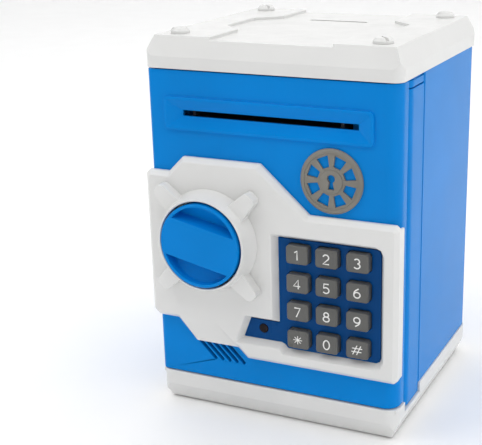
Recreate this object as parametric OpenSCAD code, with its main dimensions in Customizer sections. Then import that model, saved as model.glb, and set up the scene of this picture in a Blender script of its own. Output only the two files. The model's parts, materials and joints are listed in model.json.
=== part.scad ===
// Toy cash-machine money bank: a case with a hinged electronic door, a
// motor-fed note slot, a coin slot in the lid, a dial lock and twelve keys.
// Millimetres, +Z up, door on -Y, hinge on +X. The origin is the centre of the
// footprint on the surface that the bank stands on.

/* [Case] */
// Width of the lid and the base
lid_w = 130; // [129:0.5:134]
// Depth of the lid and the base
lid_d = 121.2; // [120:0.4:125]
// Height of the lid's flat top above the table
top_z = 190.2; // [189:0.2:194]
// Overhang of the lid and the base past the walls
overhang = 0.8; // [0.6:0.1:1]
// Thickness of the case walls
wall = 2.4; // [2.2:0.1:2.6]

/* [Door] */
// Height of the white trim above the door
trim_t = 4.5; // [4:0.1:5]
// Radius of the hinge post's round nose
post_r = 7.7; // [7.5:0.1:7.8]
// Width of the bevel round the trim's edge
trim_bevel = 2.3; // [1:0.1:2.6]

/* [Slots] */
// Width of the note slot
note_w = 90; // [76:1:92]
// Height of the note slot
note_h = 2.8; // [2.4:0.1:3.2]
// Length of the coin slot
coin_l = 32; // [28:1:36]
// Width of the coin slot
coin_w = 3.2; // [2.8:0.1:3.6]

/* [Dial] */
// Radius of the turning knob
knob_r = 20.9; // [20:0.1:21.3]
// Angle of the knob's bar at rest
knob_tilt = -12; // [-30:1:30]
// Width of the knob's bar
bar_w = 19; // [16:0.5:20]

/* [Keys] */
// Width of a key
key_w = 11.3; // [10.6:0.1:12.2]
// Height of a key
key_h = 9.2; // [8.4:0.1:10.6]
// Travel of a key
key_travel = 1.5; // [1:0.1:1.5]

/* [Hidden] */
$fn = 48;
gap = 0.3;
run = 0.05;
lap = 0.01;

// Planes of the case and the door.
half_w = lid_w / 2;
half_d = lid_d / 2;
wx = half_w - overhang;
wy = half_d - overhang;
door_y = -wy;
door_back = door_y + 11.1;
case_y = door_back + gap;
base_z = 17;
lid_z = 175;
rim_z = lid_z + 5.7;
door_z0 = base_z + 0.6;
door_z1 = lid_z - 0.6;

// Lid.
lid_in_x = 4.1;
lid_in_y = 4.5;
lid_wall = 2.4;
roof_t = 3.2;
recess_t = 1.5;
stud_x = 51.5;
stud_y = 47.5;
stud_r = 4.7;
lid_posts = [[-42, -41.6], [42, -41.6], [-52, 50], [52, 50]];
beam_z = 169.6;
beam_t = 2.4;
tab_z = lid_z - beam_t;

// Base.
foot_lift = 0.6;
base_in_x = 4;
base_in_y = 4.6;
base_bend = 9.5;
foot_x = 46;
foot_y = 44;
base_posts = [[-58.2, -30], [57.4, -14], [-57.4, 48], [57.4, 48]];
floor_t = 2;

// Hinge.
axis_x = wx - 8;
axis_y = case_y + 8.3;
pin_r = 1.5;
post_z0 = 12;
cap_z0 = beam_z + gap;
cap_z1 = 174.6;
strip_y = -25;
leaf_h = 12;
leaf_z = [30, 140];
knuckle_r = 5.2;
arm_w = 4.4;

// Door shell.
skin = 2.4;
skin_y = door_y + skin;
edge_t = 2.2;
trim_y = door_y - trim_t;
trim_over = 1.6;
trim_wrap_y = door_y + 3.9;
seat_y = skin_y + 3;
slot_z = 153.7;
slot_x = -0.9;
frame_x = -1.4;
frame_w = 107.3;
frame_h = 16.1;
frame_y = door_y - 1.2;
funnel_y = door_y + 1.6;
badge_x = 31.9;
badge_z = 128;
badge_r = 15.5;

// Keypad window, seen from the front.
window = [
    [4.3, 54], [-11.3, 54], [-15.2, 43.7], [5, 43.7], [7, 42.9], [8.5, 41.1],
    [53.9, 41.1], [55.7, 41.8], [56.5, 43.7], [56.5, 95.3], [55.7, 97.2], [53.9, 97.9],
    [4.3, 97.9]
];
window_bevel = 2.4;
panel_y = door_y - 0.5;
panel_back = skin_y + 1.2;
key_cols = [15.3, 30.3, 45.8];
key_rows = [91.15, 76.65, 62.2, 47.85];
key_front = door_y - 4.3;
key_wall = 1.3;
flange_y = panel_back + gap;
flange_t = 1.1;
mat_y = flange_y + flange_t + key_travel + gap;
mat_t = 0.8;
dome_r = 3.2;
dome_h = 1.4;
board_y = mat_y + mat_t + 0.1;
board_t = 1.4;
led_x = -4.6;
led_z = 49.4;
led_r = 2.3;

// Trim outline, seen from the front.
side_x = wx + trim_over;
trim_outline = [
    [-side_x, 51.5], [-62.6, 48.6], [-51.4, 48.6], [-41.4, 37.6], [-18, 37.6],
    [-12.8, 32.5], [side_x - 2, 32.5], [side_x, 34.5], [side_x, 108.8],
    [side_x - 2, 110.8], [21, 110.8], [-4, 133.2], [-45, 133.2], [-53, 125.2],
    [-63.8, 125.2], [-side_x, 123.2]
];
facet = [[-60, 49.4], [-29.6, 49.4], [-20.1, 41.3], [-17.2, 37.4], [-17.2, 30], [-60, 30]];
facet_fall = 2.2;
trim_pegs = [[-58, 62], [-58, 115], [-35, 129], [60, 104], [60, 36], [-30.5, 62]];

// Vents.
vent_n = 5;
vent_x = -39.6;
vent_z = 35.4;
vent_pitch = 4;
vent_l = 12;
vent_w = 1.8;

// Dial.
dial_x = -30.5;
dial_z = 93.4;
collar_r0 = 25.6;
collar_r1 = 22.9;
collar_y = trim_y - 10.3;
collar_bore = knob_r + 1;
collar_floor = 2;
spindle_r = 4;
journal_r = 2;
boss_r = 7;
boss_end = skin_y + 2.3;
knob_front = collar_y - 1.3;
knob_back = trim_y - collar_floor - 0.6;
scoop_r = 19.3;
scoop_t = 6.5;
spoke_y = trim_y - 6;
spoke_r0 = 22.6;
spoke_r1 = 36;
spoke_w0 = 10;
spoke_w1 = 7;

// Latch.
pinion_teeth = 10;
pitch_r = pinion_teeth / 2;
bolt_travel = pitch_r * PI / 2;
bolt_y = door_back + 3.7;
bolt_t = 4;
bolt_tip = -53.5;
bolt_end = -14;
bolt_z0 = dial_z + pitch_r + 1.2;
bolt_h = 8.8;
bolt_top = bolt_z0 + bolt_h;
lip_x = -55.5;
plunger_x = -31;
plunger_r = 2;
plunger_up = 0.5;
plunger_travel = 3;
notch_w = 5.2;
coil_z0 = 117;
coil_z1 = 131;
rail_t = 1.6;
guide_x0 = -46;
guide_x1 = -12;

// Back cover.
plate_t = 1.4;
plate_y = door_back - plate_t;
plate_x = wx - edge_t - 0.6;
box_x0 = -49;
box_x1 = 39.8;
box_z0 = 26;
box_z1 = 165.2;
box_y = -8;
box_t = 1.6;
cover_posts = [[-40, 22.6], [30, 22.6], [-52.4, 66], [-52.4, 126], [45, 110], [45, 162]];

// Note feeder.
roll_r = 4.6;
nip = 0.3;
roll_y = -34;
feed_z = slot_z - roll_r - nip / 2;
idle_z = slot_z + roll_r + nip / 2;
cheek_x = [-42.8, 34];
cheek_t = 1.8;
shaft_r = 2;
gear_m = 0.6;
gear_teeth = 40;
motor_teeth = 12;
gear_x = -46.4;
gear_t = 3;
gear_cd = gear_m * (gear_teeth + motor_teeth) / 2;
motor_y = roll_y + gear_cd * cos(45);
motor_z = feed_z - gear_cd * sin(45);
motor_r = 7.6;
sleeve_x = [-31, -4.4, 22];
sleeve_l = 14;
guide_gap = 1.9;

// Battery tray, seen from the case side.
cell_r = 7.1;
cell_l = 48;
cell_z = [38, 53, 68];
tray_x0 = -36;
tray_x1 = 20;
tray_z0 = 29;
tray_z1 = 77;
tray_y = -27;
cell_y = -18.2;
hatch_y = box_y - box_t;

// Plates screwed to the door's bosses: [x, z].
door_posts = [
    [40.4, leaf_z[0]], [50.8, leaf_z[0]], [40.4, leaf_z[1]], [50.8, leaf_z[1]],
    [-49.5, 114], [-18, 114], [-48.5, 86], [-12.5, 86],
    [-47.5, 158.6], [-47.5, 141.6], [40.4, 158.6]
];

// ---- helpers -------------------------------------------------------------

// Extrudes a shape drawn as (x, z) from y0 to y1.
module along_y(y0, y1) {
    translate([0, y1, 0]) rotate([90, 0, 0]) linear_extrude(y1 - y0) children();
}

// Extrudes a shape drawn as (y, z) from x0 to x1.
module along_x(x0, x1) {
    translate([x0, 0, 0]) rotate([90, 0, 90]) linear_extrude(x1 - x0) children();
}

// Extrudes a plan shape from z0 to z1.
module rise(z0, z1) {
    translate([0, 0, z0]) linear_extrude(z1 - z0) children();
}

module block(x0, x1, y0, y1, z0, z1) {
    translate([x0, y0, z0]) cube([x1 - x0, y1 - y0, z1 - z0]);
}

module rod_x(y, z, r, x0, x1) {
    translate([x0, y, z]) rotate([0, 90, 0]) cylinder(r = r, h = x1 - x0);
}

module rod_y(x, z, r, y0, y1) {
    translate([x, y1, z]) rotate([90, 0, 0]) cylinder(r = r, h = y1 - y0);
}

module rod_z(x, y, r, z0, z1) {
    translate([x, y, z0]) cylinder(r = r, h = z1 - z0);
}

// A centred rectangle with round corners.
module round_rect(w, h, r) {
    square([w - 2 * r, h], center = true);
    square([w, h - 2 * r], center = true);
    for (sx = [-1, 1], sz = [-1, 1])
        translate([sx * (w / 2 - r), sz * (h / 2 - r)]) circle(r);
}

// A round-cornered rectangle from x0 to x1 whose far side is left square.
module front_plan(x0, x1, y0, y1, r0, r1) {
    r = max(r0, r1);
    intersection() {
        translate([x0, y0]) square([x1 - x0, y1 - y0]);
        union() {
            translate([x0, y0 + r]) square([x1 - x0, y1 - y0 - r]);
            translate([x0 + r0, y0]) square([x1 - x0 - r0 - r1, r + lap]);
            translate([x0 + r0, y0 + r0]) circle(r0);
            translate([x1 - r1, y0 + r1]) circle(r1);
            translate([x0, y0 + r0]) square([r0 + lap, r - r0 + lap]);
            translate([x1 - r1 - lap, y0 + r1]) square([r1 + lap, r - r1 + lap]);
        }
    }
}

// A block whose four sides lean, with a rectangle in each of two y planes.
module funnel(xa, za, wa, ha, ya, xb, zb, wb, hb, yb) {
    intersection() {
        rise(min(za - ha / 2, zb - hb / 2) - 1, max(za + ha / 2, zb + hb / 2) + 1) polygon([
            [xa - wa / 2, ya], [xa + wa / 2, ya], [xb + wb / 2, yb], [xb - wb / 2, yb]
        ]);
        along_x(min(xa - wa / 2, xb - wb / 2) - 1, max(xa + wa / 2, xb + wb / 2) + 1) polygon([
            [ya, za - ha / 2], [ya, za + ha / 2], [yb, zb + hb / 2], [yb, zb - hb / 2]
        ]);
    }
}

// A polygon moved inwards by d with its corners mitred.
function inset(p, d) = let (n = len(p)) [
    for (i = [0 : n - 1])
        let (
            u = (p[i] - p[(i + n - 1) % n]) / norm(p[i] - p[(i + n - 1) % n]),
            v = (p[(i + 1) % n] - p[i]) / norm(p[(i + 1) % n] - p[i]),
            nu = [-u[1], u[0]],
            nv = [-v[1], v[0]]
        )
        p[i] + (nu + nv) * d / (1 + nu * nv)
];

// Wedges that join one outline at y_out to a smaller one at y_in.
module bevel_ring(outer, y_out, inner, y_in) {
    n = len(outer);
    back = [[0, 2, 3, 1], [0, 1, 5, 4], [2, 4, 5, 3], [0, 4, 2], [1, 3, 5]];
    front = [[1, 3, 2, 0], [4, 5, 1, 0], [3, 5, 4, 2], [2, 4, 0], [5, 3, 1]];
    for (i = [0 : n - 1]) {
        j = (i + 1) % n;
        polyhedron(
            points = [
                [outer[i][0], y_out, outer[i][1]], [outer[j][0], y_out, outer[j][1]],
                [inner[i][0], y_in, inner[i][1]], [inner[j][0], y_in, inner[j][1]],
                [inner[i][0], y_out, inner[i][1]], [inner[j][0], y_out, inner[j][1]]
            ],
            faces = y_out > y_in ? back : front
        );
    }
}

// A cross-recessed screw, head below, shank up.
module screw(r, l, head_r, head_h) {
    difference() {
        union() {
            translate([0, 0, -head_h]) cylinder(r = head_r, h = head_h);
            cylinder(r = r, h = l);
        }
        for (a = [0, 90])
            rotate(a) translate([-head_r * 0.6, -0.3, -head_h - 0.1])
                cube([head_r * 1.2, 0.6, 0.9]);
    }
}

module screw_y(x, y, z, r, l, head_r, head_h) {
    translate([x, y, z]) rotate([90, 0, 0]) screw(r, l, head_r, head_h);
}

// Outline of a spur gear with straight flanks and a tooth on the +X axis.
function gear_points(teeth, m) = [
    for (
        i = [0 : teeth - 1],
        p = [[-1.2, -0.31], [0, -0.23], [0.85, -0.1], [0.85, 0.1], [0, 0.23], [-1.2, 0.31]]
    )
        let (r = m * (teeth / 2 + p[0]), a = (i + p[1]) * 360 / teeth)
        [r * cos(a), r * sin(a)]
];

// ---- case ----------------------------------------------------------------

// A box whose faces are upright between za and zb and lean in beyond them.
module tapered(hx, hy, z0, ax, ay, za, zb, z1, bx, by, r) {
    intersection() {
        along_y(-hy, hy) polygon([
            [-hx + ax, z0], [hx - ax, z0], [hx, za], [hx, zb],
            [hx - bx, z1], [-hx + bx, z1], [-hx, zb], [-hx, za]
        ]);
        along_x(-hx, hx) polygon([
            [-hy + ay, z0], [hy - ay, z0], [hy, za], [hy, zb],
            [hy - by, z1], [-hy + by, z1], [-hy, zb], [-hy, za]
        ]);
        rise(z0, z1) round_rect(2 * hx, 2 * hy, r);
    }
}

module lid_recess() {
    square([62, 2 * half_d + 2], center = true);
    polygon([
        [31, 27], [43, 15], [43, -15], [31, -27],
        [-31, -27], [-43, -15], [-43, 15], [-31, 27]
    ]);
}

module top_lid() {
    color("white") difference() {
        union() {
            difference() {
                tapered(half_w, half_d, lid_z, 0, 0, lid_z + 1, rim_z, top_z,
                    lid_in_x, lid_in_y, 5);
                tapered(half_w - lid_wall, half_d - lid_wall, lid_z - 2, 0, 0, lid_z,
                    rim_z - 1, top_z - roof_t, lid_in_x, lid_in_y, 3);
            }
            for (p = lid_posts)
                rod_z(p[0], p[1], 3.6, p[1] < 0 ? beam_z + 0.1 : lid_z, top_z - roof_t + lap);
        }
        rise(top_z - recess_t, top_z + 1) lid_recess();
        translate([0, 27, 0]) rise(lid_z, top_z) square([coin_l, coin_w], center = true);
        for (p = lid_posts) rod_z(p[0], p[1], 1.25, lid_z - 8, lid_z + 8);
        for (sx = [-1, 1], sy = [-1, 1])
            rod_z(sx * stud_x, sy * stud_y, 2 + run, top_z - 5, top_z + 1);
    }
}

module lid_studs() {
    color("white") for (sx = [-1, 1], sy = [-1, 1])
        translate([sx * stud_x, sy * stud_y, top_z]) difference() {
            union() {
                cylinder(r = stud_r, h = 1.2);
                translate([0, 0, 1.2 - lap]) cylinder(r1 = stud_r, r2 = stud_r - 1.3, h = 1.5);
                translate([0, 0, -roof_t]) cylinder(r = 2, h = roof_t + 0.1);
            }
            rotate(sx * sy * 45) translate([-5, -0.7, 1.2]) cube([10, 1.4, 2]);
        }
}

module lid_screws() {
    color("silver") for (p = lid_posts)
        translate([p[0], p[1], (p[1] < 0 ? beam_z : lid_z) - beam_t]) screw(1.2, 9, 2.4, 1.4);
}

// The hinge post's plan: a round nose and a strip back to the side wall.
module post_plan(out, back) {
    translate([axis_x, axis_y]) circle(post_r + out);
    translate([wx - gap - wall, axis_y]) square([wall + out, back - axis_y]);
}

// The part of the post that a hinge leaf swings through.
module post_window(z) {
    rise(z - leaf_h / 2 - 0.4, z + leaf_h / 2 + 0.4) translate([axis_x, axis_y]) {
        circle(knuckle_r + 0.4);
        polygon([[0, 0], [-14, 6.8], [-14, -14], [5.4, -12.6]]);
    }
}

module case_shell() {
    color("dodgerblue") difference() {
        union() {
            difference() {
                rise(base_z, lid_z) intersection() {
                    round_rect(2 * wx, 2 * wy, 5);
                    translate([-wx, case_y]) square([2 * wx, 2 * wy]);
                }
                block(-wx + wall, wx - wall, case_y - 1, wy - wall,
                    base_z + floor_t, lid_z + 1);
                block(axis_x - 9, wx + 1, case_y - 1, strip_y, base_z - 1, lid_z + 1);
            }
            rise(post_z0, beam_z) post_plan(0, strip_y);
            block(wx - gap - wall, wx - gap, strip_y - 1, strip_y + 0.5, base_z, lid_z);
            block(axis_x - 9, wx - gap - 1, axis_y + 2, strip_y, base_z, base_z + floor_t);
            // Jamb lip that the latch bolt shuts behind.
            block(-wx + 1, lip_x, case_y + 0.4, case_y + 2.9, base_z + 1, beam_z);
            // Beam over the door opening.
            block(-wx + 1, axis_x - 4, case_y + 0.4, -38, beam_z - beam_t, beam_z);
            block(-wx + 1, 46, case_y + 0.4, case_y + 2.9, beam_z - beam_t, lid_z);
            for (s = [-1, 1])
                block(s * 54 - 8, s * 54 + 8, 45, wy - 1, tab_z, lid_z);
            for (p = base_posts) rod_z(p[0], p[1], 3.2, base_z, base_z + 9);
        }
        for (z = leaf_z) post_window(z);
        rod_z(axis_x, axis_y, pin_r, post_z0 + 1, beam_z + 1);
        for (p = base_posts) rod_z(p[0], p[1], 1.25, base_z - 1, base_z + 8);
        for (p = lid_posts) rod_z(p[0], p[1], 1.5, beam_z - 5, lid_z + 1);
    }
}

module hinge_pin() {
    color("silver") rod_z(axis_x, axis_y, pin_r, post_z0 + 1, cap_z0 + 2);
}

module hinge_post_cap() {
    color("dodgerblue") difference() {
        union() {
            rise(cap_z0, cap_z1 - 1.2) post_plan(0, strip_y - 1 - gap);
            rise(cap_z0, cap_z1) post_plan(-0.9, strip_y - 1 - gap);
        }
        rod_z(axis_x, axis_y, pin_r, cap_z0 - 1, cap_z0 + 2);
    }
}

module base_tray() {
    color("white") difference() {
        union() {
            difference() {
                tapered(half_w, half_d, foot_lift, base_in_x, base_in_y, base_bend,
                    base_z - 1, base_z, 0, 0, 7);
                tapered(half_w - 2.8, half_d - 2.8, foot_lift + 2.4, base_in_x, base_in_y,
                    base_bend + 1, base_z, base_z + 1, 0, 0, 4.5);
            }
            block(-half_w + 1, half_w - 1, -half_d + 2, -46, base_z - 2, base_z);
            block(axis_x - 10, half_w - 1, -50, strip_y + 2, post_z0 - 2, base_z);
            for (p = base_posts) rod_z(p[0], p[1], 3.6, foot_lift + 1, base_z - lap);
        }
        for (p = base_posts) {
            rod_z(p[0], p[1], 2.6, foot_lift - 1, base_z - 5);
            rod_z(p[0], p[1], 1.5, foot_lift, base_z + 1);
        }
        for (sx = [-1, 1], sy = [-1, 1])
            rod_z(sx * foot_x, sy * foot_y, 5, foot_lift - 1, foot_lift + 1.2);
        rise(post_z0 - gap, base_z + 1) {
            translate([axis_x, axis_y]) circle(post_r + gap);
            translate([axis_x, axis_y - post_r - gap])
                square([12, post_r + gap + strip_y - axis_y + gap]);
        }
    }
}

module rubber_feet() {
    color("dimgray") for (sx = [-1, 1], sy = [-1, 1])
        translate([sx * foot_x, sy * foot_y, 0]) {
            cylinder(r1 = 4.4, r2 = 5, h = foot_lift);
            translate([0, 0, foot_lift - lap]) cylinder(r = 5, h = 1.2 + lap);
        }
}

module base_screws() {
    color("silver") for (p = base_posts)
        translate([p[0], p[1], base_z - 5]) screw(1.2, 12, 2.4, 1.6);
}

// ---- door ----------------------------------------------------------------

module door_plan(less) {
    front_plan(-wx + less, wx - less, door_y + less, door_back, 3 - less / 2, 7 - less / 2);
}

module vent_cut() {
    for (i = [0 : vent_n - 1])
        translate([vent_x + i * vent_pitch, vent_z]) rotate(-45)
            translate([-2, -vent_w / 2]) {
                square([vent_l, vent_w]);
                translate([vent_l, vent_w / 2]) circle(vent_w / 2);
            }
}

module door_panel() {
    color("dodgerblue") difference() {
        union() {
            difference() {
                rise(door_z0, door_z1) door_plan(0);
                rise(door_z0 + edge_t, door_z1 - edge_t) translate([0, skin - edge_t])
                    door_plan(edge_t);
            }
            // Raised frame of the note slot.
            along_y(frame_y, door_y + 1) translate([frame_x, slot_z + 0.1])
                round_rect(frame_w, frame_h, 2.5);
            block(slot_x - note_w / 2 - 2, slot_x + note_w / 2 + 2, skin_y - lap, skin_y + 0.6,
                slot_z - 3, slot_z + 3);
            rod_y(dial_x, dial_z, boss_r, skin_y - lap, boss_end);
            for (p = door_posts) rod_y(p[0], p[1], 2.6, skin_y - lap, seat_y);
            for (p = cover_posts) rod_y(p[0], p[1], 2.6, skin_y - lap, plate_y);
        }
        funnel(frame_x, slot_z + 0.1, frame_w - 3, frame_h - 3, frame_y - lap,
            slot_x, slot_z, note_w, note_h, funnel_y);
        block(slot_x - note_w / 2, slot_x + note_w / 2, funnel_y - lap, skin_y + 1,
            slot_z - note_h / 2, slot_z + note_h / 2);
        along_y(door_y - 1, skin_y + 1) polygon(window);
        along_y(door_y - 1, skin_y + 1) vent_cut();
        rod_y(dial_x, dial_z, spindle_r + run, door_y - 1, boss_end + 1);
        for (p = trim_pegs) rod_y(p[0], p[1], 1.45, door_y - 1, skin_y + 1);
        for (s = [-1, 1]) rod_y(badge_x + s * 9, badge_z, 1.25, door_y - 1, skin_y + 1);
        for (p = door_posts) rod_y(p[0], p[1], 1.1, door_y + 1.2, seat_y + 1);
        for (p = cover_posts) rod_y(p[0], p[1], 1.1, plate_y - 6, plate_y + 1);
    }
}

module trim_plate() {
    color("white") difference() {
        union() {
            along_y(trim_y + trim_bevel, door_y) polygon(trim_outline);
            along_y(trim_y, door_y) polygon(inset(trim_outline, trim_bevel));
            bevel_ring(trim_outline, trim_y + trim_bevel, inset(trim_outline, trim_bevel), trim_y);
            block(wx + 0.1, side_x, door_y - 1, trim_wrap_y, 34.5, 108.8);
            block(-side_x, -wx - 0.1, door_y - 1, trim_wrap_y, 51.5, 123.2);
            for (p = trim_pegs) rod_y(p[0], p[1], 1.4, door_y - 1, skin_y);
        }
        along_y(trim_y - 1, door_y + 1) polygon(inset(window, window_bevel / trim_t));
        bevel_ring(inset(window, -window_bevel * (trim_t + 1) / trim_t), trim_y - 1,
            inset(window, window_bevel / trim_t), door_y + 1);
        // Lower left facet, which falls back below a crease.
        intersection() {
            along_y(trim_y - 1, door_y) polygon(facet);
            along_x(-side_x, 0) polygon([
                [trim_y - 1, facet[0][1]], [trim_y, facet[0][1]],
                [trim_y + facet_fall, trim_outline[3][1]], [trim_y + facet_fall, 30],
                [trim_y - 1, 30]
            ]);
        }
        rod_y(dial_x, dial_z, spindle_r + 0.6, trim_y - 1, door_y + 1);
        for (a = [45, 135, 225, 315])
            rod_y(dial_x + 15 * cos(a), dial_z + 15 * sin(a), 1.5, trim_y - 1, trim_y + 3);
    }
}

module dial_collar() {
    color("white") difference() {
        union() {
            translate([dial_x, trim_y, dial_z]) rotate([90, 0, 0])
                cylinder(r1 = collar_r0, r2 = collar_r1, h = trim_y - collar_y);
            for (a = [45, 135, 225, 315])
                along_y(spoke_y, trim_y) translate([dial_x, dial_z]) rotate(a) {
                    polygon([
                        [spoke_r0, -spoke_w0 / 2], [spoke_r1 - 1.5, -spoke_w1 / 2],
                        [spoke_r1, -spoke_w1 / 2 + 1.5], [spoke_r1, spoke_w1 / 2 - 1.5],
                        [spoke_r1 - 1.5, spoke_w1 / 2], [spoke_r0, spoke_w0 / 2]
                    ]);
                }
            for (a = [45, 135, 225, 315])
                rod_y(dial_x + 15 * cos(a), dial_z + 15 * sin(a), 1.45, trim_y - 1, trim_y + 2.8);
        }
        rod_y(dial_x, dial_z, collar_bore, collar_y - 1, trim_y - collar_floor);
        rod_y(dial_x, dial_z, spindle_r + 0.6, trim_y - 5, trim_y + 1);
    }
}

module keypad_panel() {
    color("steelblue") difference() {
        union() {
            along_y(panel_y, panel_back) polygon(inset(window, 0.15));
            along_y(skin_y + 0.05, panel_back) {
                translate([2, 38.8]) square([54.8, 61.2]);
                translate([-17.6, 41.4]) square([21, 15]);
            }
            for (x = [8.4, 54.4], z = [56, 84.7])
                rod_y(x, z, 0.9, panel_back - lap, board_y + board_t + 0.6);
        }
        for (x = key_cols, z = key_rows) along_y(panel_y - 1, panel_back + 1)
            translate([x, z]) round_rect(key_w + 0.5, key_h + 0.5, 1.8);
        rod_y(led_x, led_z, led_r + 0.1, panel_y - 1, panel_back + 1);
    }
}

// Window between two spokes of the badge, opening towards its rim.
module badge_window() {
    polygon([for (p = [[7, -14], [12.4, -14], [12.4, 14], [7, 14]])
        [p[0] * cos(p[1]), p[0] * sin(p[1])]]);
}

module badge() {
    color("gray") difference() {
        union() {
            rod_y(badge_x, badge_z, badge_r, door_y - 0.9, door_y);
            translate([badge_x, door_y - 0.9 + lap, badge_z]) rotate([90, 0, 0])
                cylinder(r1 = badge_r, r2 = badge_r - 0.8, h = 0.8);
            for (s = [-1, 1]) rod_y(badge_x + s * 9, badge_z, 1.2, door_y - lap, skin_y);
        }
        along_y(door_y - 3, door_y - 1.2) translate([badge_x, badge_z]) difference() {
            circle(badge_r - 2);
            circle(5.6);
        }
        for (a = [22.5 : 45 : 360])
            along_y(door_y - 3, door_y + 1) translate([badge_x, badge_z]) rotate(a)
                badge_window();
        along_y(door_y - 3, door_y + 1) translate([badge_x, badge_z]) {
            translate([0, 1.4]) circle(1.9);
            polygon([[-0.8, 0.4], [-1.6, -3.8], [1.6, -3.8], [0.8, 0.4]]);
        }
    }
}

module hinge_leaves() {
    color("dodgerblue") for (i = [0, 1]) difference() {
        union() {
            rise(leaf_z[i] - leaf_h / 2, leaf_z[i] + leaf_h / 2) {
                translate([axis_x, axis_y]) circle(knuckle_r);
                translate([axis_x - 12.9, axis_y - arm_w / 2]) square([12.9, arm_w]);
                translate([axis_x - 12.9, seat_y]) square([arm_w, axis_y + arm_w / 2 - seat_y]);
                translate([37.4, seat_y]) square([16.6, 2.4]);
            }
        }
        rod_z(axis_x, axis_y, pin_r + run, 0, lid_z);
        for (x = [40.4, 50.8]) rod_y(x, leaf_z[i], 1.4, seat_y - 1, seat_y + 4);
    }
}

module door_screws() {
    color("silver") for (p = door_posts) screw_y(p[0], seat_y + 2.4, p[1], 1.05, 6, 2.3, 1.2);
}

module cover_screws() {
    color("silver") for (p = cover_posts) screw_y(p[0], door_back, p[1], 1.05, 6, 2.3, 0.9);
}

module key_mat() {
    color("gainsboro") difference() {
        union() {
            block(6.5, 56.2, mat_y, mat_y + mat_t, 40, 99.4);
            for (x = key_cols, z = key_rows) rod_y(x, z, dome_r, mat_y - dome_h, mat_y + lap);
        }
        for (x = [8.4, 54.4], z = [56, 84.7]) rod_y(x, z, 1.1, mat_y - 1, mat_y + 2);
    }
}

module keypad_board() {
    color("seagreen") difference() {
        union() {
            block(2.2, 56.2, board_y, board_y + board_t, 39, 99.4);
            block(-10, 3, board_y, board_y + board_t, 43, 56);
        }
        for (x = [8.4, 54.4], z = [56, 84.7]) rod_y(x, z, 1.05, board_y - 1, board_y + 3);
        for (s = [-1, 1]) rod_y(led_x + s * 1.27, led_z, 0.45, board_y - 1, board_y + 3);
    }
}

module status_led() {
    color("red") {
        rod_y(led_x, led_z, led_r, panel_y - 0.3, panel_back);
        rod_y(led_x, led_z, led_r + 0.5, panel_back + 0.1, panel_back + 1.2);
        rod_y(led_x, led_z, led_r, panel_back - lap, panel_back + 0.2);
        for (s = [-1, 1])
            rod_y(led_x + s * 1.27, led_z, 0.3, panel_back + 1.1, board_y + board_t + 0.5);
    }
}

module speaker_frame() {
    color("dimgray") difference() {
        union() {
            rod_y(-30, 33.6, 12, skin_y + 0.1, skin_y + 1.2);
            rod_y(-30, 33.6, 11, skin_y + 1, skin_y + 4);
            rod_y(-30, 33.6, 6, skin_y + 3.9, skin_y + 6.4);
        }
        rod_y(-30, 33.6, 10.2, skin_y, skin_y + 3);
    }
}

module speaker_cone() {
    color("black") difference() {
        union() {
            rod_y(-30, 33.6, 10.1, skin_y + 1.2, skin_y + 2.9);
        }
        translate([-30, skin_y + 2.4, 33.6]) rotate([90, 0, 0]) cylinder(r1 = 4, r2 = 9.6, h = 1.3);
    }
}

// ---- mechanism cover and what it carries ---------------------------------

module door_back_cover() {
    color("dodgerblue") difference() {
        union() {
            block(-plate_x, plate_x, plate_y, door_back, door_z0 + edge_t + 0.6,
                door_z1 - edge_t - 0.6);
            block(box_x0, box_x1, plate_y, box_y, box_z0, box_z1);
        }
        block(box_x0 + box_t, box_x1 - box_t, plate_y - 1, box_y - box_t,
            box_z0 + box_t, box_z1 - box_t);
        // Arms of the hinge leaves.
        for (z = leaf_z)
            block(42.4, plate_x + 1, plate_y - 1, door_back + 1, z - 6.6, z + 6.6);
        // Ends of the two latch parts, the note exit and the battery hatch.
        block(box_x0 - 1, box_x0 + 3, bolt_y - 0.5, bolt_y + bolt_t + 0.5, bolt_z0 - 2.9,
            bolt_top + 0.5);
        block(cheek_x[0] + 2, cheek_x[1], box_y - 4, box_y + 1, slot_z - 3, slot_z + 3);
        block(tray_x0 + 1.6, tray_x1 - 1.6, box_y - 4, box_y + 1, tray_z0 + 1.6, tray_z1 - 1.6);
        for (p = cover_posts) rod_y(p[0], p[1], 1.3, plate_y - 1, door_back + 1);
        rod_y(tray_x1 + 4.6, 53, 1.3, box_y - 4, box_y + 1);
    }
    // Battery tray, open to the case side.
    color("dodgerblue") difference() {
        block(tray_x0, tray_x1, tray_y, hatch_y + 0.1, tray_z0, tray_z1);
        block(tray_x0 + 1.6, tray_x1 - 1.6, tray_y + 1.6, box_y + 1, tray_z0 + 1.6, tray_z1 - 1.6);
    }
    color("dodgerblue") difference() {
        block(tray_x1 - 0.1, tray_x1 + 9, hatch_y - 4, hatch_y + 0.1, 48, 58);
        rod_y(tray_x1 + 4.6, 53, 1.1, hatch_y - 5, hatch_y + 1);
    }
}

module battery_cover() {
    color("dodgerblue") difference() {
        union() {
            block(tray_x0 + 0.4, tray_x1 + 8.6, box_y + 0.1, box_y + 1.6, tray_z0, tray_z1);
            block(tray_x0 + 1.8, tray_x1 - 1.8, box_y - 2, box_y + 0.2, tray_z0 + 1.8, tray_z1 - 1.8);
        }
        block(tray_x0 + 3, tray_x1 - 3, box_y - 3, box_y - 0.6, tray_z0 + 3, tray_z1 - 3);
        rod_y(tray_x1 + 4.6, 53, 1.3, box_y - 1, box_y + 3);
    }
}

module battery_cover_screw() {
    color("silver") screw_y(tray_x1 + 4.6, box_y + 1.6, 53, 1.05, 6.5, 2.3, 1);
}

module battery_cells() {
    color("gold") for (z = cell_z) {
        rod_x(cell_y, z, cell_r, -32, -32 + cell_l);
        rod_x(cell_y, z, 2.7, -32 + cell_l - lap, -32 + cell_l + 1.4);
    }
}

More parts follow.
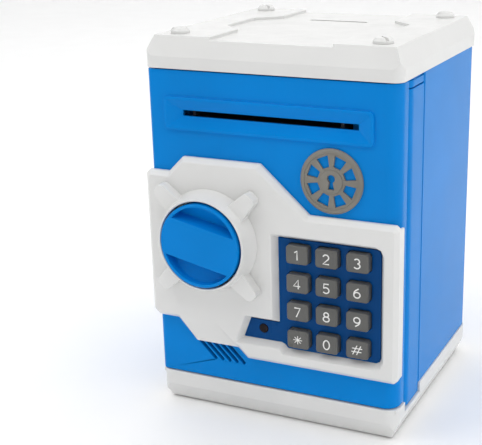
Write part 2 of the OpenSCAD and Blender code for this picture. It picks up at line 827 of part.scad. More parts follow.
module battery_contacts() {
    color("silver") for (z = cell_z) {
        block(tray_x0 + 1.7, tray_x0 + 2.1, cell_y - 4, cell_y + 4, z - 4.5, z + 4.5);
        block(tray_x1 - 2.1, tray_x1 - 1.7, cell_y - 4, cell_y + 4, z - 4.5, z + 4.5);
        rod_x(cell_y, z, 2.4, tray_x0 + 2, -32.1);
    }
}

module main_board() {
    color("seagreen") difference() {
        block(tray_x0, tray_x1 + 12, tray_y - 4, tray_y - 2.6, tray_z0 + 1, tray_z1);
        for (x = [-32, 16], z = [34, 72]) rod_y(x, z, 1.1, tray_y - 5, tray_y);
    }
    color("seagreen") for (x = [-32, 16], z = [34, 72]) {
        rod_y(x, z, 2.2, tray_y - 2.6 - lap, tray_y - 0.05);
        rod_y(x, z, 1.12, tray_y - 4, tray_y - 2.5);
    }
}

module board_chips() {
    color("black") {
        block(-16, -4, tray_y - 6, tray_y - 4.05, 46, 58);
        block(4, 14, tray_y - 5.6, tray_y - 4.05, 60, 66);
        block(-28, -22, tray_y - 8, tray_y - 4.05, 62, 68);
        rod_y(24, 40, 3, tray_y - 10, tray_y - 4.05);
    }
}

module feed_frame() {
    color("dimgray") difference() {
        union() {
            for (x = cheek_x) block(x, x + cheek_t, seat_y, box_y - box_t - 0.4, 134, 163);
            for (s = [-1, 1]) for (y = [[skin_y + 0.8, -40], [-28.4, box_y - box_t - 0.4]])
                block(cheek_x[0] + 1, cheek_x[1] + 1, y[0], y[1],
                    slot_z + s * (guide_gap + 0.6) - 0.6, slot_z + s * (guide_gap + 0.6) + 0.6);
            block(-51.5, cheek_x[0] + 1, seat_y, seat_y + 2.4, 155.4, 162);
            block(-51.5, cheek_x[0] + 1, seat_y, seat_y + 2.4, 138.4, 145);
            block(cheek_x[1] + 1, 42, seat_y, seat_y + 2.4, 155.4, 161.4);
        }
        for (z = [feed_z, idle_z]) rod_x(roll_y, z, shaft_r + run, cheek_x[0] - 1, cheek_x[1] + 3);
        rod_x(motor_y, motor_z, 2.2, cheek_x[0] - 1, cheek_x[0] + 3);
        for (p = [[-47.5, 158.6], [-47.5, 141.6], [40.4, 158.6]])
            rod_y(p[0], p[1], 1.3, seat_y - 1, seat_y + 4);
        block(-60, -44.8, seat_y + 2.4, -9, 120, 170);
    }
}

module feed_motor() {
    color("silver") difference() {
        union() {
            rod_x(motor_y, motor_z, motor_r, cheek_x[0] + cheek_t + 0.05, -16);
            rod_x(motor_y, motor_z, 3, -16 - lap, -14);
            rod_x(motor_y, motor_z, 2.1, cheek_x[0] + 0.4, cheek_x[0] + cheek_t + 0.2);
        }
        rod_x(motor_y, motor_z, 0.8 + run, cheek_x[0] - 1, cheek_x[0] + 8);
    }
}

module lock_solenoid() {
    color("goldenrod") difference() {
        union() {
            block(plunger_x - 7, plunger_x + 7, bolt_y - 4.5, bolt_y + 8.5, coil_z0, coil_z1);
            block(plunger_x - 7, plunger_x + 7, seat_y + 2.45, bolt_y - 4.4, coil_z0 + 1, coil_z1 - 1);
        }
        rod_z(plunger_x, bolt_y + bolt_t / 2, plunger_r + run, coil_z0 - 1, coil_z1 - 1);
    }
}

module latch_guide() {
    color("gray") difference() {
        union() {
            block(guide_x0, guide_x1, bolt_y + bolt_t + 0.3, bolt_y + bolt_t + 1.9,
                dial_z - 9, bolt_top + 1.9);
            block(guide_x0, guide_x1, seat_y, bolt_y + bolt_t + 1.9, bolt_top + 0.3, bolt_top + 1.9);
            block(guide_x0, -38, bolt_y - 1.9, bolt_y + bolt_t + 1.9, bolt_z0 - 4.6, bolt_z0 - 3);
            block(guide_x0, guide_x1, seat_y, seat_y + 2.4, bolt_top + 0.3, 118);
            block(guide_x0 - 5, guide_x0 + 2, seat_y, seat_y + 2.4, bolt_top + 0.3, 118);
            for (s = [[-50.8, -45, -46], [-16.6, -9.6, -16.6]]) {
                block(s[0], s[1], seat_y, seat_y + 2.4, dial_z - 10, dial_z - 4.8);
                block(s[2], s[2] + 1.6, seat_y, bolt_y + bolt_t + 1.9, dial_z - 9, dial_z - 4.8);
            }
        }
        rod_y(dial_x, dial_z, journal_r + run, bolt_y, bolt_y + 10);
        rod_z(plunger_x, bolt_y + bolt_t / 2, plunger_r + 0.2, bolt_top, bolt_top + 3);
        for (p = [[-49.5, 114], [-18, 114], [-48.5, 86], [-12.5, 86]])
            rod_y(p[0], p[1], 1.3, seat_y - 1, seat_y + 4);
    }
}

// ---- moving parts --------------------------------------------------------

// Hollow beside the knob's bar: deepest at the bar, shallower at the rim.
module knob_scoop() {
    intersection() {
        rod_y(0, 0, scoop_r, knob_front - 1, knob_front + scoop_t);
        along_x(-knob_r, knob_r) polygon([
            [knob_front - 1, bar_w / 2], [knob_front, bar_w / 2],
            [knob_front + scoop_t, bar_w / 2 + 1.8], [knob_front + scoop_t - 2.8, knob_r],
            [knob_front - 1, knob_r]
        ]);
    }
}

module dial_knob() {
    color("dodgerblue") difference() {
        rod_y(dial_x, dial_z, knob_r, knob_front, knob_back);
        for (a = [0, 180])
            translate([dial_x, 0, dial_z]) rotate([0, a - knob_tilt, 0]) knob_scoop();
        rod_y(dial_x, dial_z, spindle_r - 0.5, knob_front + 3, knob_back + 1);
    }
}

module dial_spindle() {
    color("white") {
        rod_y(dial_x, dial_z, spindle_r - 0.5, knob_front + 3, knob_back + lap);
        rod_y(dial_x, dial_z, spindle_r, knob_back, bolt_y - 0.2);
        along_y(bolt_y - 0.2 - lap, bolt_y + bolt_t) translate([dial_x, dial_z])
            rotate(90 + 180 / pinion_teeth) polygon(gear_points(pinion_teeth, 1));
        rod_y(dial_x, dial_z, journal_r, bolt_y + bolt_t - lap, bolt_y + bolt_t + 1.9);
    }
}

module latch_bolt() {
    color("silver") difference() {
        union() {
            block(bolt_tip, bolt_end, bolt_y, bolt_y + bolt_t, bolt_z0, bolt_top);
            along_y(bolt_y, bolt_y + bolt_t) for (k = [-1 : 4])
                translate([dial_x + k * PI, dial_z + pitch_r]) polygon([
                    [-1.02, 1.25], [-0.72, 0], [-0.4, -0.8], [0.4, -0.8], [0.72, 0], [1.02, 1.25]
                ]);
        }
        for (x = [plunger_x, plunger_x + bolt_travel])
            block(x - notch_w / 2, x + notch_w / 2, bolt_y - 1, bolt_y + bolt_t + 1,
                bolt_top - 3.4, bolt_top + 1);
    }
}

module lock_plunger() {
    color("silver") {
        rod_z(plunger_x, bolt_y + bolt_t / 2, plunger_r, bolt_top + plunger_up, coil_z1 - 4);
    }
}

module rollers(z) {
    for (x = sleeve_x) difference() {
        rod_x(roll_y, z, roll_r, x - sleeve_l / 2, x + sleeve_l / 2);
        rod_x(roll_y, z, shaft_r, x - sleeve_l, x + sleeve_l);
    }
}

module feed_shaft() {
    color("silver") rod_x(roll_y, feed_z, shaft_r, gear_x - 0.4, cheek_x[1] + cheek_t + 0.8);
}

module feed_sleeves() {
    color("dimgray") rollers(feed_z);
}

module idler_shaft() {
    color("silver") rod_x(roll_y, idle_z, shaft_r, cheek_x[0] - gap, cheek_x[1] + cheek_t + 0.8);
}

module idler_sleeves() {
    color("dimgray") rollers(idle_z);
}

module feed_gear() {
    color("white") along_x(gear_x, gear_x + gear_t) translate([roll_y, feed_z]) difference() {
        rotate(-45) polygon(gear_points(gear_teeth, gear_m));
        circle(shaft_r);
    }
}

module motor_pinion() {
    color("gold") {
        along_x(gear_x, gear_x + gear_t) translate([motor_y, motor_z])
            rotate(135 + 180 / motor_teeth) polygon(gear_points(motor_teeth, gear_m));
        rod_x(motor_y, motor_z, 0.8, gear_x - 0.4, cheek_x[0] + 6);
    }
}

// Key number i counts along the rows from the top left.
module key(i) {
    x = key_cols[i % 3];
    z = key_rows[floor(i / 3)];
    color("gray") difference() {
        union() {
            along_y(key_front, flange_y + flange_t) translate([x, z])
                round_rect(key_w, key_h, 1.6);
            along_y(flange_y, flange_y + flange_t) translate([x, z])
                round_rect(key_w + 1.8, key_h + 1.8, 1.8);
        }
        along_y(key_front + key_wall, flange_y + flange_t + 1) translate([x, z]) difference() {
            round_rect(key_w - 2 * key_wall, key_h - 2 * key_wall, 1);
        }
    }
    color("gray") rod_y(x, z, 1.5, key_front + key_wall - lap,
        mat_y - dome_h - key_travel - gap);
}

module key_1() {
    key(0);
}

module key_2() {
    key(1);
}

module key_3() {
    key(2);
}

module key_4() {
    key(3);
}

module key_5() {
    key(4);
}

module key_6() {
    key(5);
}

module key_7() {
    key(6);
}

module key_8() {
    key(7);
}

module key_9() {
    key(8);
}

module key_star() {
    key(9);
}

module key_0() {
    key(10);
}

module key_hash() {
    key(11);
}

// ---- drawing -------------------------------------------------------------

case_shell();
top_lid();
base_tray();
lid_studs();
lid_screws();
base_screws();
rubber_feet();
hinge_pin();
hinge_post_cap();
door_panel();
trim_plate();
dial_collar();
keypad_panel();
badge();
hinge_leaves();
door_screws();
door_back_cover();
cover_screws();
key_mat();
keypad_board();
status_led();
speaker_frame();
speaker_cone();
main_board();
board_chips();
feed_frame();
feed_motor();
lock_solenoid();
latch_guide();
battery_cover();
battery_cover_screw();
battery_cells();
battery_contacts();
dial_knob();
dial_spindle();
latch_bolt();
lock_plunger();
feed_shaft();
feed_sleeves();
feed_gear();
idler_shaft();
idler_sleeves();
motor_pinion();
key_1();
key_2();
key_3();
key_4();
key_5();
key_6();
key_7();
key_8();
key_9();
key_star();
key_0();
key_hash();
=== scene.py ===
"""Looks for the toy cash-machine money bank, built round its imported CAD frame."""
import json
import math

import bmesh
import bpy
from mathutils import Matrix, Vector


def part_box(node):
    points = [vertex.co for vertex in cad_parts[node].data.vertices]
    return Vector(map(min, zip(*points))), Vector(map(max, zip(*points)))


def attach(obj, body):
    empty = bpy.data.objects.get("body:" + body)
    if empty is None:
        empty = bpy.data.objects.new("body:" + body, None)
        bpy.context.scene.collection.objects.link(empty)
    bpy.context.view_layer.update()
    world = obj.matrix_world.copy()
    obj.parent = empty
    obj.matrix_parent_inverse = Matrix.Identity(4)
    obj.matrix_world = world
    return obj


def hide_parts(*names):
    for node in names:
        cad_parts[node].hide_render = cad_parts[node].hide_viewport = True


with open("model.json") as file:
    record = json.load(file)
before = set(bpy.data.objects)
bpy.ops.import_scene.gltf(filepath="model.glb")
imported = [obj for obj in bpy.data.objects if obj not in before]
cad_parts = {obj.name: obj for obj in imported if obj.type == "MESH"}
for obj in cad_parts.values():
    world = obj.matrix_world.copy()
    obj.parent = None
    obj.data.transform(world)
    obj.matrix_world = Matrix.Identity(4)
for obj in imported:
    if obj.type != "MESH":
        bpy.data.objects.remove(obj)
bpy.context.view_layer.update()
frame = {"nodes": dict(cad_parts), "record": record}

scene = bpy.context.scene
MM = 0.001

# Most of a noise texture's values lie between these two.
NOISE_LOW = 0.3
NOISE_HIGH = 0.7
SKIN_GRAIN = 900.0  # scale of the fine skin on moulded plastic

# How the rounded copies of the nodes are made.
WELD = 2e-6  # corners closer than this, in metres, become one
FLAT_ANGLE = math.radians(0.3)  # faces that meet at less than this lie in one plane
STRAIGHT_SLACK = 0.001  # radians past a straight angle that still count as convex
FAR = 1.0  # metres, wider than any face here
SAME_WAY = 0.8  # cosine above which two edges run on into each other
ROOM_SHARE = 0.4  # part of the free width that a rounding may take
STRIP = 1  # material index that marks a rounded strip while normals are worked out
LEAN_LIMIT = 0.4  # cosine above which a strip leans to a flat face
SMOOTH_LIMIT = math.cos(math.radians(31))  # cosine above which two faces share a smooth corner


# ---- materials -----------------------------------------------------------

def new_material(name):
    """A node material, its tree and its Principled shader."""
    material = bpy.data.materials.new(name)
    material.use_nodes = True
    return material, material.node_tree, material.node_tree.nodes["Principled BSDF"]


def noise(tree, scale, detail=3.0, rough=0.5, stretch=None):
    """Noise over the object's own coordinates, optionally stretched along an axis."""
    coords = tree.nodes.new("ShaderNodeTexCoord").outputs["Object"]
    if stretch:
        mapping = tree.nodes.new("ShaderNodeMapping")
        mapping.inputs["Scale"].default_value = stretch
        tree.links.new(coords, mapping.inputs["Vector"])
        coords = mapping.outputs["Vector"]
    texture = tree.nodes.new("ShaderNodeTexNoise")
    texture.inputs["Scale"].default_value = scale
    texture.inputs["Detail"].default_value = detail
    texture.inputs["Roughness"].default_value = rough
    tree.links.new(coords, texture.inputs["Vector"])
    return texture.outputs["Fac"]


def ramp(tree, factor, low, high):
    """Maps a noise factor onto a range between two colours."""
    node = tree.nodes.new("ShaderNodeValToRGB")
    node.color_ramp.elements[0].position = NOISE_LOW
    node.color_ramp.elements[0].color = low
    node.color_ramp.elements[1].position = NOISE_HIGH
    node.color_ramp.elements[1].color = high
    tree.links.new(factor, node.inputs["Fac"])
    return node.outputs["Color"]


def spread(tree, factor, low, high):
    """Maps a noise factor onto a range of plain numbers."""
    node = tree.nodes.new("ShaderNodeMapRange")
    node.inputs["From Min"].default_value = NOISE_LOW
    node.inputs["From Max"].default_value = NOISE_HIGH
    node.inputs["To Min"].default_value = low
    node.inputs["To Max"].default_value = high
    tree.links.new(factor, node.inputs["Value"])
    return node.outputs["Result"]


def bump(tree, shader, height, depth):
    """Adds relief to a shader; depth is in metres."""
    node = tree.nodes.new("ShaderNodeBump")
    node.inputs["Strength"].default_value = 1.0
    node.inputs["Distance"].default_value = depth
    tree.links.new(height, node.inputs["Height"])
    tree.links.new(node.outputs["Normal"], shader.inputs["Normal"])


def shade(colour, factor):
    """The colour made darker or lighter, with full alpha."""
    return (*[min(1.0, c * factor) for c in colour[:3]], 1.0)


def moulded(name, colour, rough=0.3, drift=0.06, relief=0.00001, gloss=0.45):
    """Injection-moulded plastic: slow colour drift, faint flow marks and a fine skin."""
    material, tree, shader = new_material(name)
    slow = noise(tree, 22.0, 2.0)
    colours = ramp(tree, slow, shade(colour, 1 - drift), shade(colour, 1 + drift))
    tree.links.new(colours, shader.inputs["Base Color"])
    flow = noise(tree, 70.0, 4.0, 0.6, (1.0, 1.0, 0.35))
    tree.links.new(spread(tree, flow, rough * 0.85, rough * 1.2), shader.inputs["Roughness"])
    bump(tree, shader, noise(tree, SKIN_GRAIN), relief)
    shader.inputs["IOR"].default_value = 1.0 + gloss
    return material


def metal(name, colour):
    """Drawn or turned metal with fine lines along its grain."""
    rough = 0.25
    lines = (1.0, 1.0, 14.0)
    material, tree, shader = new_material(name)
    shader.inputs["Metallic"].default_value = 1.0
    streak = noise(tree, 420.0, 5.0, 0.7, lines)
    colours = ramp(tree, streak, shade(colour, 0.82), shade(colour, 1.12))
    tree.links.new(colours, shader.inputs["Base Color"])
    tree.links.new(spread(tree, streak, rough * 0.7, rough * 1.5), shader.inputs["Roughness"])
    bump(tree, shader, streak, 0.000012)
    return material


def soft_rubber(name, colour, rough=0.75):
    """Rubber with a matt, slightly dusty skin."""
    material, tree, shader = new_material(name)
    dust = noise(tree, 160.0, 5.0, 0.7)
    tree.links.new(ramp(tree, dust, shade(colour, 0.8), shade(colour, 1.7)),
                   shader.inputs["Base Color"])
    tree.links.new(spread(tree, dust, rough * 0.85, min(1.0, rough * 1.2)),
                   shader.inputs["Roughness"])
    bump(tree, shader, noise(tree, 2400.0), 0.00003)
    return material


def circuit(name):
    """Green solder mask over copper tracks with bright pads."""
    material, tree, shader = new_material(name)
    coords = tree.nodes.new("ShaderNodeTexCoord").outputs["Object"]
    bricks = tree.nodes.new("ShaderNodeTexBrick")
    bricks.inputs["Scale"].default_value = 130.0
    bricks.inputs["Mortar Size"].default_value = 0.03
    bricks.inputs["Brick Width"].default_value = 0.9
    bricks.inputs["Row Height"].default_value = 0.23
    bricks.inputs["Color1"].default_value = (0.012, 0.12, 0.045, 1)
    bricks.inputs["Color2"].default_value = (0.016, 0.15, 0.055, 1)
    bricks.inputs["Mortar"].default_value = (0.03, 0.26, 0.09, 1)
    turn = tree.nodes.new("ShaderNodeMapping")
    turn.inputs["Rotation"].default_value = (math.pi / 2, 0, 0)
    tree.links.new(coords, turn.inputs["Vector"])
    tree.links.new(turn.outputs["Vector"], bricks.inputs["Vector"])
    dots = tree.nodes.new("ShaderNodeTexVoronoi")
    dots.inputs["Scale"].default_value = 260.0
    tree.links.new(turn.outputs["Vector"], dots.inputs["Vector"])
    pad = tree.nodes.new("ShaderNodeMath")
    pad.operation = "LESS_THAN"
    pad.inputs[1].default_value = 0.16
    tree.links.new(dots.outputs["Distance"], pad.inputs[0])
    mix = tree.nodes.new("ShaderNodeMix")
    mix.data_type = "RGBA"
    mix.inputs["B"].default_value = (0.55, 0.52, 0.46, 1)
    tree.links.new(pad.outputs["Value"], mix.inputs["Factor"])
    tree.links.new(bricks.outputs["Color"], mix.inputs["A"])
    tree.links.new(mix.outputs["Result"], shader.inputs["Base Color"])
    shader.inputs["Roughness"].default_value = 0.32
    bump(tree, shader, bricks.outputs["Fac"], 0.00004)
    return material


def paper_cone(name):
    """Pressed black paper with fibres."""
    material, tree, shader = new_material(name)
    fibre = noise(tree, 700.0, 6.0, 0.7, (1.0, 3.0, 1.0))
    tree.links.new(ramp(tree, fibre, (0.012, 0.012, 0.013, 1), (0.05, 0.05, 0.052, 1)),
                   shader.inputs["Base Color"])
    shader.inputs["Roughness"].default_value = 0.9
    bump(tree, shader, fibre, 0.00008)
    return material


def tinted_lens(name, colour):
    """Dark tinted resin, faintly cloudy, with a weak gloss."""
    material, tree, shader = new_material(name)
    cloud = noise(tree, 500.0)
    tree.links.new(ramp(tree, cloud, shade(colour, 0.55), shade(colour, 1.5)),
                   shader.inputs["Base Color"])
    shader.inputs["Roughness"].default_value = 0.12
    shader.inputs["Specular IOR Level"].default_value = 0.15
    bump(tree, shader, cloud, 0.00001)
    return material


BLUE = (0.001, 0.225, 0.67)
WHITE = (0.76, 0.76, 0.75)
materials = {
    "blue_plastic": moulded("blue_plastic", BLUE, 0.18, 0.05, gloss=0.17),
    "panel_blue": moulded("panel_blue", (0.002, 0.062, 0.23), 0.3, 0.08, relief=0.00002, gloss=0.17),
    "white_plastic": moulded("white_plastic", WHITE, 0.22, 0.02, gloss=0.35),
    "key_grey": moulded("key_grey", (0.115, 0.115, 0.11), 0.3, 0.1, relief=0.00002, gloss=0.4),
    "badge_grey": moulded("badge_grey", (0.21, 0.20, 0.175), 0.5, 0.14, relief=0.00003),
    "steel": metal("steel", (0.62, 0.62, 0.62)),
    "dark_plastic": moulded("dark_plastic", (0.02, 0.02, 0.022), 0.5, 0.2, relief=0.00003),
    "coil_tape": moulded("coil_tape", (0.5, 0.33, 0.04), 0.35, 0.15, relief=0.00003),
    "black_rubber": soft_rubber("black_rubber", (0.03, 0.03, 0.03)),
    "silicone": soft_rubber("silicone", (0.5, 0.51, 0.5), 0.55),
    "circuit_board": circuit("circuit_board"),
    "chip_black": moulded("chip_black", (0.015, 0.015, 0.016), 0.55, 0.3, relief=0.00002),
    "cone_black": paper_cone("cone_black"),
    "led_red": tinted_lens("led_red", (0.012, 0.006, 0.008)),
    "cell_jacket": moulded("cell_jacket", (0.03, 0.12, 0.05), 0.22, 0.1, gloss=0.7),
    "brass": metal("brass", (0.75, 0.55, 0.2)),
    "key_ink": moulded("key_ink", (0.82, 0.82, 0.8), 0.5, 0.03, relief=0.00001),
}


# ---- pieces from the frame -----------------------------------------------

body_of_node = {
    node: body
    for body, nodes in frame["record"]["behaviour"]["bodies"].items()
    for node in nodes
}
slot_of_node = {s["node"]: s["material_slot"] for s in frame["record"]["subparts"]}


def new_piece(name, mesh, body, slot, material=None):
    """Links a mesh as a piece that rides a body and takes a slot's finish."""
    piece = bpy.data.objects.new(name, mesh)
    scene.collection.objects.link(piece)
    piece.data.materials.clear()
    piece.data.materials.append(material or materials[slot])
    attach(piece, body)
    return piece


def corner_angle(face, corner):
    """The face's inner angle at a corner, in radians."""
    return next(loop.calc_angle() for loop in face.loops if loop.vert is corner)


def lies_flat(edge):
    """Whether an edge still exists between two faces of one plane."""
    return edge.is_valid and edge.calc_face_angle(1.0) < FLAT_ANGLE


def join_flat_faces(work):
    """Evens out coplanar triangles, then joins them where the result stays convex."""
    inner = [edge for edge in work.edges if lies_flat(edge)]
    bmesh.ops.beautify_fill(work, faces=work.faces, edges=inner, method="ANGLE")
    for edge in sorted(work.edges, key=lambda e: -e.calc_length()):
        if not lies_flat(edge):
            continue
        one, two = edge.link_faces
        widest = max(corner_angle(one, corner) + corner_angle(two, corner)
                     for corner in edge.verts)
        if widest < math.pi + STRAIGHT_SLACK:
            bmesh.utils.face_join([one, two])


def room_beside(edge, sharp):
    """How wide a rounding may be along an edge before it meets other edges."""
    start, end = (corner.co for corner in edge.verts)
    along = (end - start).normalized()
    room = FAR
    for face in edge.link_faces:
        reach = max((corner.co - start).cross(along).length for corner in face.verts)
        room = min(room, reach)
    for corner in edge.verts:
        for other in corner.link_edges:
            if other is edge or other not in sharp:
                continue
            way = (other.other_vert(corner).co - corner.co).normalized()
            if abs(way.dot(along)) < SAME_WAY:
                room = min(room, other.calc_length())
    return ROOM_SHARE * room


def weigh_edges(work, width, angle):
    """Weighs each sharp edge by how much of the rounding has room there."""
    weights = work.edges.layers.float.new("bevel_weight_edge")
    sharp = {edge for edge in work.edges
             if edge.calc_face_angle(0.0) > math.radians(angle)}
    for edge in sharp:
        edge[weights] = min(1.0, room_beside(edge, sharp) / width)


def welded_copy(node, width, angle):
    """The node's shape as flat faces joined at their corners, weighed for rounding."""
    work = bmesh.new()
    work.from_mesh(frame["nodes"][node].data)
    bmesh.ops.remove_doubles(work, verts=work.verts, dist=WELD)
    bmesh.ops.dissolve_degenerate(work, edges=work.edges, dist=WELD)
    work.normal_update()
    join_flat_faces(work)
    weigh_edges(work, width, angle)
    mesh = bpy.data.meshes.new(f"{node}_welded")
    work.to_mesh(mesh)
    work.free()
    stored_normals = mesh.attributes.get("custom_normal")
    if stored_normals:
        mesh.attributes.remove(stored_normals)
    return mesh


def corner_normal(face, around):
    """Flat faces keep their own direction; rounded strips lean to the nearest flat face."""
    flats = [other for other in around if other.material_index != STRIP]
    strips = [other for other in around if other.material_index == STRIP]
    lead = face.normal
    if face.material_index == STRIP and flats:
        nearest = max(flats, key=lambda other: other.normal.dot(lead))
        if nearest.normal.dot(lead) > LEAN_LIMIT:
            lead = nearest.normal
        else:
            flats = []
    total = Vector((0, 0, 0))
    for other in flats or strips:
        if other.normal.dot(lead) > SMOOTH_LIMIT:
            total += other.normal * other.area
    return total.normalized() if total.length > 0 else face.normal.copy()


def set_normals(mesh):
    """Gives every corner a normal that keeps flat faces flat and curves smooth."""
    around = [[] for _ in mesh.vertices]
    for face in mesh.polygons:
        face.use_smooth = True
        for corner in face.vertices:
            around[corner].append(face)
    normals = [corner_normal(face, around[corner])
               for face in mesh.polygons for corner in face.vertices]
    mesh.normals_split_custom_set(normals)
    mesh.polygons.foreach_set("material_index", [0] * len(mesh.polygons))


def rounded_copy(node, width, steps, angle):
    """The node's shape with its sharp edges rounded."""
    bare = welded_copy(node, width, angle)
    for _ in range(STRIP + 1):
        bare.materials.append(None)
    holder = bpy.data.objects.new(f"{node}_welded", bare)
    scene.collection.objects.link(holder)
    bevel = holder.modifiers.new("rounding", "BEVEL")
    bevel.limit_method = "WEIGHT"
    bevel.width = width
    bevel.segments = steps
    bevel.material = STRIP
    bevel.use_clamp_overlap = False
    bevel.loop_slide = False
    bevel.miter_outer = "MITER_ARC"
    drawn = holder.evaluated_get(bpy.context.evaluated_depsgraph_get())
    mesh = bpy.data.meshes.new_from_object(drawn)
    mesh.name = f"{node}_skin"
    bpy.data.objects.remove(holder)
    bpy.data.meshes.remove(bare)
    set_normals(mesh)
    return mesh


def skin(node, width=0.35, steps=3, angle=30):
    """Stands a copy of a node in for it, rounded along its sharp edges.

    The width is in millimetres, and edges sharper than the angle, in degrees, are rounded.
    """
    mesh = rounded_copy(node, width * MM, steps, angle)
    piece = new_piece(f"{node}_skin", mesh, body_of_node[node], slot_of_node[node])
    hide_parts(node)


def finish_node(node):
    """Gives a node that is shown as it is its slot's material."""
    data = frame["nodes"][node].data
    data.materials.clear()
    data.materials.append(materials[slot_of_node[node]])


# ---- case ----------------------------------------------------------------

def build_case():
    """Everything that stands still."""
    skin("top_lid", width=0.2, angle=22)
    skin("base_tray", width=0.3, angle=22)
    skin("case_shell")
    skin("lid_studs", width=0.2)
    skin("hinge_post_cap", width=0.9, steps=4)
    skin("rubber_feet", width=0.3)
    for node in ("lid_screws", "base_screws"):
        skin(node, width=0.12, steps=2)
    finish_node("hinge_pin")


# ---- door ----------------------------------------------------------------

def build_door():
    """The door and everything that is fixed to it."""
    skin("door_panel", width=0.25)
    skin("trim_plate", width=0.55, steps=4, angle=20)
    skin("dial_collar", width=0.5, steps=4)
    skin("keypad_panel", width=0.25)
    for node in ("hinge_leaves", "door_back_cover", "battery_cover"):
        skin(node, width=0.4)
    skin("speaker_frame", width=0.3)
    skin("feed_frame", width=0.25)
    skin("latch_guide", width=0.25)
    skin("lock_solenoid", width=0.4)
    skin("feed_motor", width=0.5)
    skin("board_chips", width=0.2)
    skin("battery_cells", width=0.5)
    skin("badge", width=0.25)
    skin("status_led", width=0.4, steps=4)
    for node in ("door_screws", "cover_screws", "battery_cover_screw"):
        skin(node, width=0.12, steps=2)
    for node in ("key_mat", "keypad_board", "main_board", "speaker_cone", "battery_contacts"):
        finish_node(node)


def build_movers():
    """What turns or slides on the door, apart from the keys."""
    skin("dial_knob", width=0.5, steps=4, angle=25)
    skin("dial_spindle", width=0.15, steps=2)
    skin("latch_bolt", width=0.2, steps=2)
    skin("lock_plunger", width=0.3)
    skin("feed_sleeves", width=0.4)
    skin("idler_sleeves", width=0.4)
    skin("feed_gear", width=0.08, steps=2)
    skin("motor_pinion", width=0.05, steps=2)
    finish_node("feed_shaft")
    finish_node("idler_shaft")


# ---- keys ----------------------------------------------------------------

def arc(cx, cy, rx, ry, start, end, steps=14):
    """Points along part of an ellipse, in degrees, anticlockwise if end > start."""
    angles = [math.radians(start + (end - start) * i / steps) for i in range(steps + 1)]
    return [(cx + rx * math.cos(a), cy + ry * math.sin(a)) for a in angles]


def ray(angle, reach, cx=0.0, cy=0.5):
    """A stroke through a point, at an angle in degrees."""
    dx, dy = reach * math.cos(math.radians(angle)), reach * math.sin(math.radians(angle))
    return [(cx - dx, cy - dy), (cx + dx, cy + dy)]


# Strokes of each symbol in a cell one unit high, centred on x = 0.
SYMBOLS = {
    "1": [[(-0.2, 0.8), (0.06, 1.0), (0.06, 0.0)]],
    "2": [arc(0.0, 0.71, 0.28, 0.29, 165, -35) + [(-0.3, 0.0), (0.31, 0.0)]],
    "3": [arc(-0.02, 0.75, 0.26, 0.25, 150, -80), arc(-0.02, 0.27, 0.3, 0.27, 80, -150)],
    "4": [[(0.14, 0.0), (0.14, 1.0), (-0.34, 0.29), (0.34, 0.29)]],
    "5": [[(0.27, 1.0), (-0.2, 1.0), (-0.25, 0.56)]
          + arc(-0.02, 0.31, 0.31, 0.31, 125, -145)],
    "6": [[(0.16, 1.0)] + arc(0.08, 0.36, 0.38, 0.5, 125, 180),
          arc(0.0, 0.3, 0.3, 0.3, 0, 360, 24)],
    "7": [[(-0.29, 1.0), (0.3, 1.0), (-0.1, 0.0)]],
    "8": [arc(0.0, 0.76, 0.23, 0.24, 0, 360, 22), arc(0.0, 0.27, 0.3, 0.27, 0, 360, 24)],
    "9": [[(-0.16, 0.0)] + arc(-0.08, 0.64, 0.38, 0.5, -55, 0),
          arc(0.0, 0.7, 0.3, 0.3, 0, 360, 24)],
    "0": [arc(0.0, 0.5, 0.3, 0.5, 0, 360, 28)],
    "star": [ray(a, 0.46) for a in (0, 45, 90, 135)],
    "hash": [ray(0, 0.5, -0.04, 0.31), ray(0, 0.5, 0.04, 0.69),
             ray(68, 0.56, -0.19, 0.5), ray(68, 0.56, 0.19, 0.5)],
}
SYMBOL_SIZE = (5.1 * MM, 4.6 * MM)  # width and height of one cell
THIN_STROKES = {"star": 0.2 * MM, "hash": 0.26 * MM}
STROKE = 0.34 * MM
INK_FLATNESS = 0.15  # thickness of a stroke as a share of its width
SAME_POINT = 1e-6  # a stroke whose ends are closer than this is a closed loop


def stroke_mesh(name, strokes, place, size, radius, flat):
    """Round-ended strokes as one mesh, flattened along Y onto a face at place."""
    curve = bpy.data.curves.new(name, "CURVE")
    curve.dimensions = "3D"
    curve.bevel_depth = radius
    curve.bevel_resolution = 3
    curve.use_fill_caps = True
    for points in strokes:
        spline = curve.splines.new("POLY")
        closed = len(points) > 3 and math.dist(points[0], points[-1]) < SAME_POINT
        points = points[:-1] if closed else points
        spline.points.add(len(points) - 1)
        spline.use_cyclic_u = closed
        for point, (x, z) in zip(spline.points, points):
            point.co = (x * size[0], 0, (z - 0.5) * size[1], 1)
    holder = bpy.data.objects.new(name, curve)
    mesh = bpy.data.meshes.new_from_object(holder)
    bpy.data.objects.remove(holder)
    for vertex in mesh.vertices:
        vertex.co = Vector((vertex.co.x, vertex.co.y * flat, vertex.co.z)) + place
    for polygon in mesh.polygons:
        polygon.use_smooth = True
    return mesh


def build_key(symbol):
    """A key cap with a soft edge and its symbol in white ink."""
    node = f"key_{symbol}"
    low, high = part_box(node)
    skin(node, width=0.8, steps=5)
    face = Vector(((low.x + high.x) / 2, low.y, (low.z + high.z) / 2))
    ink = stroke_mesh(f"{node}_ink", SYMBOLS[symbol], face, SYMBOL_SIZE,
                      THIN_STROKES.get(symbol, STROKE), INK_FLATNESS)
    new_piece(f"{node}_ink", ink, body_of_node[node], slot_of_node[node],
              materials["key_ink"])


# ---- stage ---------------------------------------------------------------

# The floor and backdrop, in metres.
FLAT_RADII = (0.6, 1.2)  # rings within the flat floor
CURVE_START = 1.8  # radius where the floor starts to curve up
CURVE_RADIUS = 0.8
CURVE_STEPS = 9
WALL_TOP = 3.0
TURN_STEPS = 60

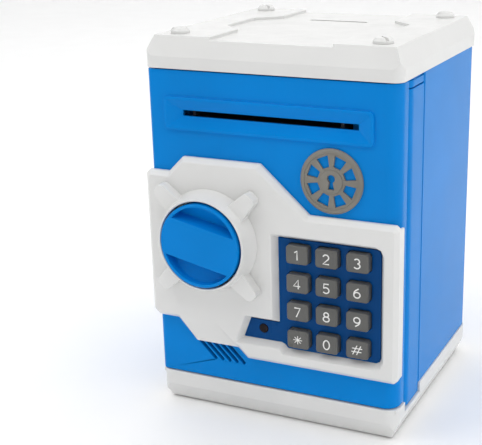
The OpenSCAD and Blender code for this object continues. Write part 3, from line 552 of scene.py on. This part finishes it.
# Each light's place, target and size in metres, and its power in watts.
LIGHTS = {
    "ceiling": ((-0.1, 0.3, 1.6), (-0.1, 0.3, 0.0), (3.2, 3.4), 45),
    "key": ((-0.35, -0.4, 0.85), (0, -0.05, 0.15), (0.4, 0.4), 0.8),
    "side": ((0.95, -0.15, 0.3), (0.0, 0.0, 0.1), (0.9, 0.9), 2.0),
}
WORLD_STRENGTH = 0.08

CAMERA_PLACE = Vector((211.6, -496.2, 260.8)) * MM
CAMERA_YAW = math.radians(24.2)
CAMERA_PITCH = math.radians(17.9)
CAMERA_ROLL = math.radians(-0.8)
CAMERA_LENS = 80.07
CAMERA_SENSOR = 36
CAMERA_SHIFT = -0.1224


def build_stage():
    """A pale round floor that curves up into a backdrop on every side."""
    quarter = [math.radians(90 * i / CURVE_STEPS) for i in range(CURVE_STEPS + 1)]
    profile = [(radius, 0.0) for radius in FLAT_RADII]
    profile += [(CURVE_START + CURVE_RADIUS * math.sin(a), CURVE_RADIUS - CURVE_RADIUS * math.cos(a))
                for a in quarter]
    profile += [(CURVE_START + CURVE_RADIUS, WALL_TOP)]
    turns = [math.radians(360 * i / TURN_STEPS) for i in range(TURN_STEPS)]
    work = bmesh.new()
    rings = [[work.verts.new((r * math.cos(t), r * math.sin(t), z)) for t in turns]
             for r, z in profile]
    work.faces.new(rings[0])
    for inner, outer in zip(rings, rings[1:]):
        for i in range(len(turns)):
            work.faces.new((inner[i - 1], outer[i - 1], outer[i], inner[i]))
    mesh = bpy.data.meshes.new("floor")
    work.to_mesh(mesh)
    work.free()
    for polygon in mesh.polygons:
        polygon.use_smooth = True
    floor = bpy.data.objects.new("floor", mesh)
    scene.collection.objects.link(floor)
    floor.data.materials.append(moulded("paper", (0.97, 0.97, 0.97), 0.8, 0.01))


def add_light(name, place, target, size, power):
    """A soft rectangular light aimed at a point."""
    light = bpy.data.lights.new(name, "AREA")
    light.shape = "RECTANGLE"
    light.size, light.size_y = size
    light.energy = power
    lamp = bpy.data.objects.new(name, light)
    scene.collection.objects.link(lamp)
    lamp.location = place
    lamp.rotation_euler = (Vector(target) - Vector(place)).to_track_quat("-Z", "Y").to_euler()


def build_lights():
    """Soft studio light with a little white light from all round."""
    for name, settings in LIGHTS.items():
        add_light(name, *settings)
    world = bpy.data.worlds.new("studio")
    world.use_nodes = True
    background = world.node_tree.nodes["Background"]
    background.inputs["Color"].default_value = (1, 1, 1, 1)
    background.inputs["Strength"].default_value = WORLD_STRENGTH
    scene.world = world
    scene.view_settings.view_transform = "Standard"


def build_camera():
    """Camera at the photograph's viewing angle and lens."""
    data = bpy.data.cameras.new("camera")
    data.sensor_width = CAMERA_SENSOR
    data.lens = CAMERA_LENS
    data.shift_x = CAMERA_SHIFT
    camera = bpy.data.objects.new("camera", data)
    scene.collection.objects.link(camera)
    camera.location = CAMERA_PLACE
    turn = (Matrix.Rotation(CAMERA_YAW, 4, "Z")
            @ Matrix.Rotation(math.pi / 2 - CAMERA_PITCH, 4, "X")
            @ Matrix.Rotation(CAMERA_ROLL, 4, "Z"))
    camera.rotation_euler = turn.to_euler()
    scene.camera = camera


build_case()
build_door()
build_movers()
for symbol in SYMBOLS:
    build_key(symbol)
build_stage()
build_lights()
build_camera()
